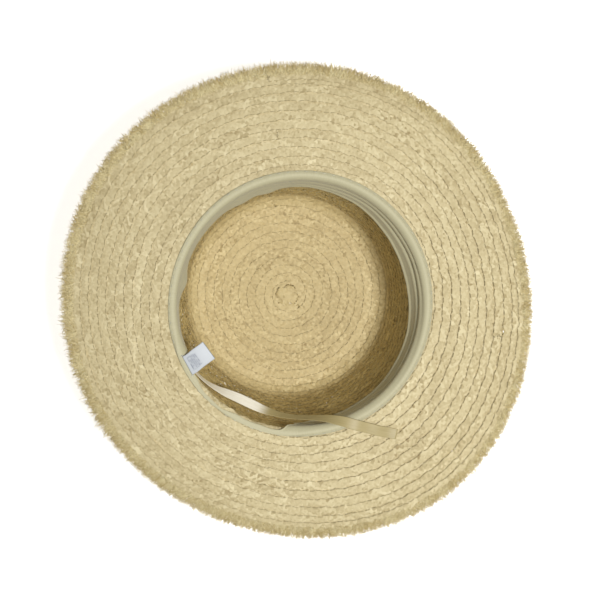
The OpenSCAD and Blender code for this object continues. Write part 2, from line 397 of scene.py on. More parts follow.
def sewn_strip(braid):
    """place(t, u, h) for the sewn spiral: rows lean so that each lies over the one before.

    The height is h - lean u + c (1 - (2u / w)^2): each row is a little domed across, more so
    on the crown's side, its outer edge rises to the row that lies over it, and on the brim its
    inner edge turns up. The edge that meets the sweatband stands up. The strip wanders by
    sines of the angle and of the length along it.
    """
    table_n, table_l = strip_table(braid)

    def place(t, u, h):
        n = np.interp(t, table_l, table_n)
        az = n * TURN - SPIRAL_START
        wander = 0.30 * np.sin(2.13 * az + 1) + 0.22 * np.sin(5.21 * az) + 0.14 * np.sin(11.4 * az)
        wander = wander + 0.30 * np.sin(TURN * t / 0.0151 + 2.2 * np.sin(t / 0.037))
        wander = wander + 0.21 * np.sin(TURN * t / 0.0087 + 1.7 * np.sin(t / 0.023))
        lift = 0.10 * np.sin(3.19 * az + 2) + 0.07 * np.sin(9.41 * az)
        lift = lift + 0.12 * np.sin(TURN * t / 0.0223 + 1.5 * np.sin(t / 0.051))
        s = spiral(n, braid) + u + MM * wander
        across = 2 * u / braid.braid_width
        on_wall = ease(s, TIP_R, TIP_R + SHOULDER_L) * (1 - ease(s, BAND_FREE, BRIM_START))
        dome = braid.row_dome * (1 + 4.5 * on_wall) * (1 - across**2)
        beside_band = np.exp(-(((s - BAND_OUTER - 1.2 * MM) / (2.6 * MM)) ** 2))
        lip = 1.1 * MM * beside_band * ease(-across, 0.35, 1.0)
        under = MM * 1.15 * ease(across, 0.3, 1.0)
        on_brim = ease(s, BAND_OUTER, BAND_OUTER + 0.010)
        edge = MM * (0.20 + 0.20 * np.sin(t / 0.0193 + 3 * np.sin(t / 0.071)))
        edge = edge * ease(-across, 0.5, 1.0)
        lean = braid.row_lean * (0.45 + 0.55 * np.maximum(on_wall, on_brim))
        height = h - lean * u + dome + lip + edge * on_brim + under - 0.1 * MM + MM * lift
        return round_hat(s, height, az)

    return place


def strip_at(turns, braid):
    """Length along the strip at which it has made this many turns."""
    table_n, table_l = strip_table(braid)
    return float(np.interp(turns, table_n, table_l))


# ---- materials


def add_node(tree, kind, links=(), **settings):
    """Adds a node. Settings in lower case are its attributes, and the others its inputs by name.

    An input takes a value, or a socket to link from. links give inputs by their numbers.
    """
    node = tree.nodes.new("ShaderNode" + kind)
    for key in filter(str.islower, settings):
        setattr(node, key, settings[key])
    inputs = [(k.replace("_", " "), v) for k, v in settings.items() if not k.islower()]
    for name, value in [*links, *inputs]:
        if isinstance(value, bpy.types.NodeSocket):
            tree.links.new(value, node.inputs[name])
        else:
            node.inputs[name].default_value = value
    return node


def new_material(name):
    """An empty material and its node tree, with an output node."""
    mat = bpy.data.materials.new(name)
    mat.use_nodes = True
    mat.node_tree.nodes.clear()
    return mat, mat.node_tree, add_node(mat.node_tree, "OutputMaterial")


def fibre_material(name, pale, mid, deep, roughness, low=WHITE, high=WHITE):
    """Dried raffia: each strand its own tan, with fine lengthwise fibres and a satin face.

    Its colour is multiplied by a tone that runs from low at the hat's tip to high, 35 mm up:
    painted shade, which gives the crown's inside the deeper, yellower look of light bounced
    between its walls.

    The fibres are about 0.25 mm wide and 10 mm long, so they are drawn in the piece's own
    along and across coordinates: along in metres, and 1 across for about 5 mm of strand.
    """
    mat, tree, out = new_material(name)
    uv = add_node(tree, "UVMap", uv_map="along_across")
    scale = add_node(tree, "Mapping", Vector=uv.outputs["UV"], Scale=(100.0, 20.0, 1.0))
    fibres = add_node(
        tree, "TexNoise", Vector=scale.outputs["Vector"],
        Scale=1.0, Detail=3.0, Roughness=0.6,
    )
    tint = add_node(tree, "Attribute", attribute_name="tint")
    links = [(0, fibres.outputs["Fac"]), (1, 0.55), (2, -0.275)]
    spread = add_node(tree, "Math", links, operation="MULTIPLY_ADD")
    both = add_node(
        tree, "Math", [(0, tint.outputs["Fac"]), (1, spread.outputs["Value"])],
        operation="ADD",
    )
    ramp = add_node(tree, "ValToRGB", Fac=both.outputs["Value"])
    ramp.color_ramp.elements[0].color = deep
    ramp.color_ramp.elements[0].position = 0.05
    ramp.color_ramp.elements[1].color = pale
    ramp.color_ramp.elements[1].position = 0.95
    ramp.color_ramp.elements.new(0.5).color = mid
    place = add_node(tree, "TexCoord")
    axes = add_node(tree, "SeparateXYZ", Vector=place.outputs["Object"])
    up = add_node(
        tree, "MapRange", Value=axes.outputs["Z"],
        interpolation_type="SMOOTHSTEP", From_Min=2 * MM, From_Max=35 * MM,
    )
    # Painted shade: the tone from low to high darkens and yellows the straw inside the crown.
    painted_shade = add_node(tree, "Mix", Factor=up.outputs["Result"], data_type="RGBA", A=low, B=high)
    shaded_straw = add_node(
        tree, "Mix", A=ramp.outputs["Color"], B=painted_shade.outputs["Result"],
        data_type="RGBA", blend_type="MULTIPLY", Factor=1.0,
    )
    bump = add_node(tree, "Bump", Height=fibres.outputs["Fac"], Strength=0.35, Distance=0.12 * MM)
    skin = add_node(
        tree, "BsdfPrincipled",
        Base_Color=shaded_straw.outputs["Result"], Normal=bump.outputs["Normal"],
        Roughness=roughness, IOR=1.5, Specular_IOR_Level=0.35,
    )
    tree.links.new(skin.outputs["BSDF"], out.inputs["Surface"])
    return mat


def thread_material(name, colour):
    """Spun thread: matt, with a faint mottle from its twist, about 0.4 mm apart."""
    mat, tree, out = new_material(name)
    place = add_node(tree, "TexCoord")
    twist = add_node(
        tree, "TexNoise", Vector=place.outputs["Object"],
        Scale=1 / (0.4 * MM), Detail=1.0,
    )
    dark = tuple(0.72 * c for c in colour[:3]) + (1.0,)
    mix = add_node(tree, "Mix", Factor=twist.outputs["Fac"], data_type="RGBA", A=dark, B=colour)
    skin = add_node(tree, "BsdfPrincipled", Base_Color=mix.outputs["Result"], Roughness=0.7)
    tree.links.new(skin.outputs["BSDF"], out.inputs["Surface"])
    return mat


def grosgrain_material(name, colour, shade):
    """Ribbed polyester ribbon: its yarns' crossings dim and bump it, which gives a dry, matt look.

    The yarns are about 0.55 mm apart along it and 4 mm long across it.
    """
    mat, tree, out = new_material(name)
    uv = add_node(tree, "UVMap", uv_map="along_across")
    scale = add_node(tree, "Mapping", Vector=uv.outputs["UV"], Scale=(1800.0, 260.0, 1.0))
    yarns = add_node(
        tree, "TexNoise", Vector=scale.outputs["Vector"],
        Scale=1.0, Detail=2.0, Roughness=0.55,
    )
    mix = add_node(tree, "Mix", Factor=yarns.outputs["Fac"], data_type="RGBA", A=shade, B=colour)
    bump = add_node(tree, "Bump", Height=yarns.outputs["Fac"], Strength=0.4, Distance=0.05 * MM)
    skin = add_node(
        tree, "BsdfPrincipled",
        Base_Color=mix.outputs["Result"], Normal=bump.outputs["Normal"],
        Roughness=0.62, Sheen_Weight=0.15,
    )
    tree.links.new(skin.outputs["BSDF"], out.inputs["Surface"])
    return mat


def satin_material(name, clean, plain_satin):
    """Woven satin: floats that run lengthwise give a soft gleam, with faint streaks along it.

    The tint attribute runs from 0, a painted highlight in cream that stands in for the satin's
    gleam, to 1, the satin's own khaki. The streaks are yarns of about 0.3 mm, drawn twice as
    coarse so that they show.
    """
    mat, tree, out = new_material(name)
    uv = add_node(tree, "UVMap", uv_map="along_across")
    scale = add_node(tree, "Mapping", Vector=uv.outputs["UV"], Scale=(90.0, 60.0, 1.0))
    yarns = add_node(tree, "TexNoise", Vector=scale.outputs["Vector"], Scale=1.0, Detail=2.0)
    highlight_fade = add_node(tree, "Attribute", attribute_name="tint")
    # Painted highlight: at tint 0 the satin is cream, standing in for its gleam, and at tint 1 it
    # is its own khaki.
    base = add_node(tree, "Mix", Factor=highlight_fade.outputs["Fac"], data_type="RGBA", A=clean, B=plain_satin)
    streak = add_node(
        tree, "Mix", Factor=yarns.outputs["Fac"], A=base.outputs["Result"],
        data_type="RGBA", blend_type="MULTIPLY", B=linear("#DCD8C8"),
    )
    bump = add_node(tree, "Bump", Height=yarns.outputs["Fac"], Strength=0.3, Distance=0.03 * MM)
    skin = add_node(
        tree, "BsdfPrincipled",
        Base_Color=streak.outputs["Result"], Normal=bump.outputs["Normal"],
        Roughness=0.5,
    )
    tree.links.new(skin.outputs["BSDF"], out.inputs["Surface"])
    return mat


# ---- settings


def length_setting(name, about, metres):
    """A setting that is a length."""
    return FloatProperty(name=name, description=about, default=metres, unit="LENGTH")


def colour_setting(name, about, hex_colour):
    """A setting that is a colour."""
    return FloatVectorProperty(
        name=name, description=about, default=linear(hex_colour), subtype="COLOR", size=4
    )


class HatBraid(PropertyGroup):
    """The plaited and sewn straw."""

    strands: IntProperty(
        name="Strands", description="Strands in the plait, an odd number", default=7, min=3, max=9
    )
    braid_width: length_setting(
        "Braid width", "Width of the plait, of which a part lies under the next row", 9.5 * MM
    )
    strand_width: length_setting("Strand width", "Width of one flat strand", 3 * MM)
    strand_thick: length_setting("Strand thickness", "Thickness of one flat strand", 0.32 * MM)
    plait_length: length_setting(
        "Plait length", "Length in which a strand runs from edge to edge and back", 21 * MM
    )
    row_lean: FloatProperty(
        name="Row lean",
        description="Slope of a row, as rise over width, so that it lies over the row before",
        default=0.205,
    )
    row_dome: length_setting("Row dome", "Height of a row's middle over its edges", 0.2 * MM)
    pale: colour_setting("Pale straw", "Colour of the palest strands", "#DCCFA6")
    mid: colour_setting("Straw", "Colour of most strands", "#C6B78D")
    deep: colour_setting("Deep straw", "Colour of the darkest strands", "#9F8D63")


class HatFringe(PropertyGroup):
    """The frayed edge."""

    fibres: IntProperty(
        name="Fibres", description="Number of loose fibres round the edge", default=19000, min=500
    )
    length: length_setting("Length", "Usual length of a fibre", 7.4 * MM)
    deep: colour_setting("Deep straw", "Colour of the darkest fibres", "#B39D66")
    pale: colour_setting("Pale straw", "Colour of the palest fibres", "#DACD9F")


class HatBand(PropertyGroup):
    """The sweatband and its stitches."""

    colour: colour_setting("Colour", "Colour of the grosgrain", "#C2BC99")
    shade: colour_setting("Shade", "Colour between its ribs", "#ADA685")
    rib: length_setting("Rib spacing", "Distance from one rib to the next", 0.95 * MM)
    stitches: IntProperty(name="Stitches", description="Stitches round the sewn edge", default=90)


class HatRibbon(PropertyGroup):
    """The satin sizing ribbon."""

    width: length_setting("Width", "Width of the ribbon", 8 * MM)
    thickness: length_setting("Thickness", "Thickness of the ribbon", 0.4 * MM)
    # Length from the exit over which the ribbon is cream: a painted highlight for the satin's
    # gleam.
    clean: length_setting(
        "Clean length", "Length from the exit over which the satin is still clean", 74 * MM
    )
    # The cream colour is the painted highlight, and the khaki below is the satin's own colour.
    colour: colour_setting("Colour", "Colour of the satin", "#FBF6E8")
    plain_satin: colour_setting("Worn colour", "Colour of the satin toward its handled end", "#B3A475")


class HatLabel(PropertyGroup):
    """The care label."""

    width: length_setting("Width", "Width of the label", 15.5 * MM)
    length: length_setting("Length", "Length of the folded label", 20 * MM)
    colour: colour_setting("Colour", "Colour of the cloth", "#BABEC1")
    ink: colour_setting("Ink", "Colour of the printed lines", "#5F6678")


class HatStage(PropertyGroup):
    """Floor, lights and camera."""

    key: FloatProperty(
        name="Key light", description="Power of the key light", default=28.0, unit="POWER"
    )
    fill: FloatProperty(
        name="Fill light", description="Strength of the white surround", default=0.27
    )
    floor_glow: FloatProperty(
        name="Floor glow",
        description="Light the paper passes from below, which pales the shadows on it",
        default=0.68,
    )
    distance: length_setting("Camera distance", "From the head opening to the camera", VIEW_FROM)
    tilt: FloatProperty(
        name="Camera tilt", description="Angle of the view from straight down",
        default=rad(8), subtype="ANGLE",
    )
    side: FloatProperty(
        name="Camera side", description="Direction round the hat that the camera leans to",
        default=rad(211), subtype="ANGLE",
    )
    roll: FloatProperty(
        name="Picture top", description="Direction round the hat that is up in the picture",
        default=rad(152), subtype="ANGLE",
    )


SETTINGS = (
    ("hat_braid", HatBraid),
    ("hat_fringe", HatFringe),
    ("hat_band", HatBand),
    ("hat_ribbon", HatRibbon),
    ("hat_label", HatLabel),
    ("hat_stage", HatStage),
)


# ---- pieces


def finish_piece(obj, mat, nodes, body="hat"):
    """Gives a piece its material and the body it rides on, and hides the frame's parts for the
    nodes it shows.
    """
    obj.data.materials.append(mat)
    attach(obj, body)
    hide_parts(*nodes)
    return obj


def straw(context, node):
    """The braid's material, made once for the brim and once for the crown, which is yellower with
    painted shade.
    """
    b = context.scene.hat_braid
    word, painted_shades = ("pale", (WHITE, WHITE)) if node == "brim" else ("golden with painted shade", (TIP_PAINTED_SHADE, SIDE_PAINTED_SHADE))
    name = f"Plaited raffia, dried, {word}"
    shades = [tuple(c) for c in (b.pale, b.mid, b.deep)]
    return bpy.data.materials.get(name) or fibre_material(name, *shades, 0.6, *painted_shades)


def sew_rows(context, name, node, first, last, seed):
    """One piece of the sewn spiral, between two counts of turns."""
    b = context.scene.hat_braid
    start, end = strip_at(first, b), strip_at(last, b)
    parts = plait(sewn_strip(b), start, end - start, b, np.random.default_rng(seed))
    obj = strands_to_piece(name, *parts, LENS)
    return finish_piece(obj, straw(context, node), [node])


FOLD_L = 16 * MM


def folded_start(turn, high):
    """place(t, u, h) for the braid's folded start: a short domed strip across the tip's centre.

    It is turned to an angle at a height, and its dome is c (1 - (x / d)^2), with x from its
    middle. It slopes up a little to the north, as the braid lies under it there.
    """

    def place(t, u, h):
        x = t - FOLD_L / 2
        dome = MM * (1 - (x / (9 * MM)) ** 2)
        east = x * math.cos(turn) - u * math.sin(turn)
        north = x * math.sin(turn) + u * math.cos(turn)
        return np.stack([east + 0.3 * MM, north - 0.8 * MM, high + dome + h + 0.12 * north], -1)

    return place


class HAT_OT_tip(Operator):
    """Plaits the button and the rows of the crown's tip"""

    bl_idname = "hat.tip"
    bl_label = "Crown tip"

    def execute(self, context):
        b = context.scene.hat_braid
        sew_rows(context, "crown_tip_rows", "crown_tip", 1.6, TIP_ROWS, 11)
        sew_rows(context, "tip_start_coil", "tip_button", 0.55, 1.6, 12)

        for i, (turn, high) in enumerate(((40, 3.0), (128, 2.2), (84, 0.6))):
            strip = folded_start(rad(turn), high * MM)
            parts = plait(strip, 0.0, FOLD_L, b, np.random.default_rng(13 + i))
            obj = strands_to_piece(f"tip_folded_start_{i + 1}", *parts, LENS)
            finish_piece(obj, straw(context, "tip_button"), ["tip_button"])
        return {"FINISHED"}


class HAT_OT_side(Operator):
    """Plaits the rows of the crown's side"""

    bl_idname = "hat.side"
    bl_label = "Crown side"

    def execute(self, context):
        for i, (a, b) in enumerate(((TIP_ROWS, 18), (18, SIDE_ROWS))):
            sew_rows(context, f"crown_side_rows_{i + 1}", "crown_side", a, b, 21 + i)
        return {"FINISHED"}


class HAT_OT_brim(Operator):
    """Plaits the rows of the brim"""

    bl_idname = "hat.brim"
    bl_label = "Brim"

    def execute(self, context):
        for i, (a, b) in enumerate(((SIDE_ROWS, 30), (30, 33.7), (33.7, LAST_ROW))):
            sew_rows(context, f"brim_rows_{i + 1}", "brim", a, b, 31 + i)
        return {"FINISHED"}


TUFTS = 520
EDGE_R = 178 * MM


class HAT_OT_fringe(Operator):
    """Sets the frayed fibres round the brim's edge"""

    bl_idname = "hat.fringe"
    bl_label = "Frayed edge"

    def execute(self, context):
        f = context.scene.hat_fringe
        rng = np.random.default_rng(41)
        pale, deep = tuple(f.pale), tuple(f.deep)
        mid = tuple((a + b) / 2 for a, b in zip(pale, deep))
        mat = fibre_material("Frayed raffia, loose fibres", pale, mid, deep, 0.65)
        for i in range(2):
            obj = self.fibres(f"frayed_edge_fibres_{i + 1}", f, i * TURN / 2, rng)
            finish_piece(obj, mat, ["edge_fringe"])
        return {"FINISHED"}

    def fibres(self, name, f, start, rng):
        """Half the fringe: at q, from 0 to 1, a fibre has run L q, turned by a + b q from straight
        out, and risen by L q (c + d q). Fibres draw together a little, in 520 tufts.
        """
        k, n = f.fibres // 2, 4
        az = start + np.sort(rng.uniform(0, TURN / 2, k))
        tuft = np.round(az / TURN * TUFTS) / TUFTS * TURN
        az = (az + 0.12 * (tuft - az))[:, None]
        q = np.linspace(0, 1, n)[None]
        length = (f.length * np.clip(rng.normal(1.0, 0.16, k), 0.5, 1.45))[:, None]
        swing, curl = rng.normal(0, 0.6, (k, 1)), rng.normal(0, 0.35, (k, 1))
        rise, droop = rng.normal(0.01, 0.10, (k, 1)), rng.normal(-0.02, 0.09, (k, 1))
        along = length * q
        s = BRIM_START + BRIM_W + rng.uniform(-4.2, 1.2, (k, 1)) * MM
        s = s + along * np.cos(swing + curl * q)
        turn = az + np.sin(swing + curl * q) * along / EDGE_R
        h = rng.uniform(-1.0, 1.0, (k, 1)) * MM + along * (rise + droop * q)
        centre = round_hat(s, h, turn)
        up = unit(round_hat(s, h + 0.2 * MM, turn) - centre)
        side = unit(np.cross(unit(np.gradient(centre, axis=1)), up))
        roll = rng.normal(0, 0.3, (k, 1, 1))
        side, up = side * np.cos(roll) + up * np.sin(roll), up * np.cos(roll) - side * np.sin(roll)
        taper = np.array([1.0, 0.95, 0.75, 0.25])[None]
        wide = rng.uniform(0.12, 0.32, (k, 1)) * MM * taper
        thick = 0.10 * MM * np.ones((k, n)) * taper
        shade = np.interp(az, np.linspace(0, TURN, 900), rng.uniform(-0.35, 0.35, 900))
        tint = np.clip(0.80 - 0.45 * q + shade + rng.normal(0, 0.15, (k, 1)), 0, 1)
        return strands_to_piece(name, centre, side, up, wide, thick, tint, BLADE)


def stitch_run(name, place, t, length, thread, seed):
    """Short stitches, each with its middle proud and its ends drawn in: h = d (1 - 1.9 q^4).

    d is the thread's thickness, and q runs from -1 to 1 along the stitch. place(t, u, h) sets
    them on a seam at the given t.
    """
    rng = np.random.default_rng(seed)
    k, n = len(t), 5
    q = np.linspace(-1, 1, n)[None]
    tt = t[:, None] + rng.normal(0, 0.15 * MM, (k, 1)) + length / 2 * q
    u = rng.normal(0, 0.12 * MM, (k, 1)) + rng.normal(0, 0.10 * MM, (k, 1)) * q
    h = thread * (1.0 - 1.9 * np.abs(q) ** 4) + np.zeros_like(tt)
    centre = place(tt, u, h)
    up = unit(place(tt, u, h + 0.2 * MM) - centre)
    along = unit(np.gradient(centre, axis=1))
    side = unit(np.cross(along, up))
    size = thread / 2 * np.ones((k, n))
    return strands_to_piece(name, centre, side, up, size, size, np.full((k, n), 0.5), CORD)


STITCH_PITCH = 5.2 * MM
STITCH_L = 4.0 * MM
ROW_THREAD = 0.32 * MM
SEAM_IN = 0.5 * MM


class HAT_OT_row_stitches(Operator):
    """Sews each row to the one before"""

    bl_idname = "hat.row_stitches"
    bl_label = "Row stitching"

    def execute(self, context):
        b = context.scene.hat_braid
        strip = sewn_strip(b)
        seam = -b.braid_width / 2 + SEAM_IN
        top = b.strand_thick * 1.05
        first, last = strip_at(2, b), strip_at(LAST_ROW, b)
        t = np.arange(first, last, STITCH_PITCH)
        s = spiral(np.interp(t, *strip_table(b)[::-1]), b) + seam
        t = t[(s < BAND_FREE) | (s > BAND_OUTER)]

        def place(t, u, h):
            """The stitches lie beside the row's inner edge, on top of the row below."""
            return strip(t, u + seam, h + top)

        obj = stitch_run("row_stitches", place, t, STITCH_L, ROW_THREAD, 51)
        # The thread is a little darker than the straw: partly its own colour, partly painted shade
        # for the crevice at each row's edge where it lies.
        mat = thread_material("Fine cotton thread, straw colour", linear("#B3A377"))
        finish_piece(obj, mat, ["row_stitching"])
        return {"FINISHED"}


def band_shape(v, az):
    """(s, h) of the sweatband's face at v from 0, its sewn edge, to 1, its free edge.

    It lies flat over the turn and goes down the side. On one side of the hat two creases with a
    cord-like ridge between them run round it, and its free edge stands off the straw. Beside
    the ribbon's exit it is cut away to a narrow strip. Its free edge waves, with three points.
    Each point, crease, ridge and lap is a bell, a exp(-(x / w)^2), and the rest are sines.
    """
    turn = np.mod(az, TURN)
    cut = 24.2 * ease(turn, rad(252), rad(268)) * (1 - ease(turn, rad(322), rad(340)))
    narrow = cut + 4.0 * bell(az, rad(150), rad(24)) + 2.5 * bell(az, rad(210), rad(36))
    tips = ((4.0, 232, 6), (2.8, 181, 7), (2.2, 168, 5))
    points = sum(a * bell(az, rad(c), rad(w)) for a, c, w in tips)
    ruffle = 0.5 * np.sin(7 * az + 0.5) + 0.35 * np.sin(13 * az + 2) + 0.2 * np.sin(29 * az)
    mm = v * (BAND_W / MM - narrow) + v**2 * ruffle
    lap = 0.9 * ease(turn, rad(0), rad(60)) * (1 - ease(turn, rad(90), rad(140)))
    folds = bell(az, rad(78), rad(62))
    shift = -0.055 * np.degrees((az - rad(77) + math.pi) % TURN - math.pi)
    at = mm - 7.2 + np.clip(shift, -3.5, 3.5)
    bells = ((-0.75, 0, 0.8), (0.55, 2.5, 1.5), (-0.95, 6.6, 0.9), (0.45, 9.2, 1.8))
    crease = sum(a * np.exp(-(((at - c) / w) ** 2)) for a, c, w in bells)
    hem = 0.35 * ease(v, 0.88, 0.93) + 0.9 * folds * np.exp(-(((v - 0.95) / 0.05) ** 2))
    stand = 1.6 * np.maximum(0, np.cos(az - rad(205))) ** 1.5 + 3.6 * bell(az, rad(84), rad(27))
    off = (stand + points * 0.8) * ease(v, 0.2, 1.0) ** 1.2
    puff = 0.15 * np.sin(11 * az + 1.3) * ease(v, 0.1, 0.5)
    edge = 1.5 + 0.5 * bell(az, rad(78), rad(60))
    h = 2.85 + crease * (0.15 + 0.85 * folds) + hem + off + puff - edge * (1 - ease(v, 0.0, 0.13))
    lap = lap - 1.2 * bell(az, rad(215), rad(40))
    return BAND_OUTER + MM * (lap - mm), h * MM


# The ribs are counted along the band's middle, and each is a cosine of three points.
RIBBED_L = 0.580
BAND_FACE_R = 0.09
RIB_COLUMNS = 3
RIB_HIGH = 0.09 * MM
BAND_POINTS = 44
BAND_THICK = 0.55 * MM


class HAT_OT_sweatband(Operator):
    """Lays the grosgrain sweatband in the headline and stitches its edge"""

    bl_idname = "hat.sweatband"
    bl_label = "Sweatband"

    def execute(self, context):
        band = context.scene.hat_band
        columns = int(round(RIBBED_L / band.rib)) * RIB_COLUMNS
        az = (np.arange(columns) * TURN / columns)[:, None]
        rib = np.cos(np.arange(columns) * TURN / RIB_COLUMNS)[:, None]

        v = np.linspace(0, 1, BAND_POINTS)[None]
        edge = np.minimum(1, np.minimum(v, 1 - v) / 0.02)
        s, h = band_shape(v, az)
        front = round_hat(s, h + RIB_HIGH * rib * edge, az)
        back = round_hat(s, h - BAND_THICK, az)
        step = (TURN * BAND_FACE_R / columns, BAND_W / (BAND_POINTS - 1))
        obj = skin_piece("sweatband_grosgrain", front, back, step, True)
        mat = grosgrain_material(
            "Grosgrain ribbon, ribbed polyester", tuple(band.colour), tuple(band.shade)
        )
        finish_piece(obj, mat, ["sweatband"])

        def place(t, u, h):
            """t runs round the seam, near the sewn edge."""
            turn = t / BAND_SEAM_R
            s, face_h = band_shape(np.full(np.shape(turn), 0.045), turn)
            return round_hat(s + u, face_h + h, turn)

        t = (np.arange(band.stitches) + 0.5) / band.stitches * TURN * BAND_SEAM_R
        t = t[np.abs(t / BAND_SEAM_R - rad(270)) > rad(9)]
        obj = stitch_run("sweatband_stitches", place, t, 3.2 * MM, 0.42 * MM, 61)
        mat = thread_material("Polyester thread, ecru", linear("#D4D1BC"))
        finish_piece(obj, mat, ["sweatband_stitching"])
        return {"FINISHED"}


def label_material(name, colour, ink):
    """Printed nylon taffeta: smooth, faintly glossy, with plain grey lines on its sewn half.

    The lines are bars 1.3 mm apart, broken into short runs by a coarse noise, so they only
    look like print and can't be read.
    """
    mat, tree, out = new_material(name)
    uv = add_node(tree, "UVMap", uv_map="along_across")
    axes = add_node(tree, "SeparateXYZ", Vector=uv.outputs["UV"])
    words = add_node(tree, "Mapping", Vector=uv.outputs["UV"], Scale=(620.0, 770.0, 1.0))
    broken = add_node(tree, "TexNoise", Vector=words.outputs["Vector"], Scale=1.0, Detail=1.0)
    across, down = axes.outputs["X"], axes.outputs["Y"]
    lines = TURN / (1.3 * MM)
    turns = add_node(tree, "Math", [(0, down), (1, lines)], operation="MULTIPLY")
    wave = add_node(tree, "Math", [(0, turns.outputs["Value"])], operation="SINE")
    off = add_node(tree, "Math", [(0, across), (1, 7.75 * MM)], operation="SUBTRACT")
    aside = add_node(tree, "Math", [(0, off.outputs["Value"])], operation="ABSOLUTE")
    mark = None
    for value, test, limit in (
        (wave.outputs["Value"], "GREATER_THAN", 0.15),
        (broken.outputs["Fac"], "GREATER_THAN", 0.46),
        (down, "LESS_THAN", 10.5 * MM),
        (down, "GREATER_THAN", 2.2 * MM),
        (aside.outputs["Value"], "LESS_THAN", 5.5 * MM),
    ):
        mask = add_node(tree, "Math", [(0, value), (1, limit)], operation=test)
        links = [(0, mask.outputs["Value"]), (1, (mark or mask).outputs["Value"])]
        mark = add_node(tree, "Math", links, operation="MULTIPLY")
    mix = add_node(tree, "Mix", Factor=mark.outputs["Value"], data_type="RGBA", A=colour, B=ink)
    skin = add_node(tree, "BsdfPrincipled", Base_Color=mix.outputs["Result"], Roughness=0.5)
    tree.links.new(skin.outputs["BSDF"], out.inputs["Surface"])
    return mat


# Middle of the label's sewn edge, at the back of the headline.
LABEL_HINGE = np.array([0, -97.5, 100.4]) * MM


class HAT_OT_label(Operator):
    """Folds the care label and ties its seam"""

    bl_idname = "hat.label"
    bl_label = "Care label"

    def execute(self, context):
        b = context.scene.hat_label
        x = (np.linspace(-0.5, 0.5, 21) * b.width)[:, None]
        d = (np.linspace(0, 1, 31) * b.length)[None]

        def face(low):
            """The label rises as it runs in and turns a little, and its free end's corners curl:
            1.2 q + 0.7 sin(pi q) + 2 q^2 s^2 - 0.35 q s up, with q along it and s across.
            """
            q, side = d / b.length, x / b.width
            lift = 1.2 * q + 0.7 * np.sin(math.pi * q) + 2.0 * q**2 * side**2 - 0.35 * side * q
            turn = rad(8) * ease(q, 0.0, 0.5)
            east = x * np.cos(turn) - d * np.sin(turn)
            north = d * np.cos(turn) + x * np.sin(turn)
            up = MM * lift + 0.5 * low * (1 - q**6)
            return LABEL_HINGE + np.stack([east, north, up], -1)

        front, back = face(0.5 * MM), face(-0.5 * MM)
        step = (b.width / 20, b.length / 30)
        obj = skin_piece("care_label_cloth", back, front, step, False)
        mat = label_material("Nylon taffeta label, printed", tuple(b.colour), tuple(b.ink))
        finish_piece(obj, mat, ["care_label"], "label")

        def place(t, u, h):
            """One stitch past each side of the label: t is about -a on one and a on the other."""
            east = np.where(t > 0, 1.0, -1.0) * (b.width / 2 + 0.7 * MM) + u
            north = LABEL_HINGE[1] + (np.abs(t) - 10 * MM)
            return np.stack([east, north, LABEL_HINGE[2] - 0.6 * MM + h], -1)

        at = np.array([-10, 10]) * MM
        obj = stitch_run("label_tie_stitches", place, at, 2.4 * MM, 0.4 * MM, 71)
        mat = thread_material("Polyester thread, white", linear("#E4E4DE"))
        finish_piece(obj, mat, ["label_stitches"])
        return {"FINISHED"}


def smooth_line(points, spacing):
    """Points at even spacing on the Catmull-Rom curve through the given rows of numbers."""
    p = np.array(points, float)
    p = np.concatenate([[2 * p[0] - p[1]], p, [2 * p[-1] - p[-2]]])
    q = np.linspace(0, 1, 40, endpoint=False)[None, :, None]
    a, b, c, d = (p[i : len(p) - 3 + i, None] for i in range(4))
    curve = 2 * b + (c - a) * q + (2 * a - 5 * b + 4 * c - d) * q**2
    curve = 0.5 * (curve + (3 * b - a - 3 * c + d) * q**3)
    curve = np.concatenate([curve.reshape(-1, p.shape[1]), p[-2:-1]])
    run = np.r_[0, np.cumsum(np.linalg.norm(np.diff(curve[:, :3], axis=0), axis=1))]
    count = int(round(run[-1] / spacing))
    even = np.linspace(0, run[-1], count + 1)
    return np.stack([np.interp(even, run, curve[:, i]) for i in range(p.shape[1])], -1)


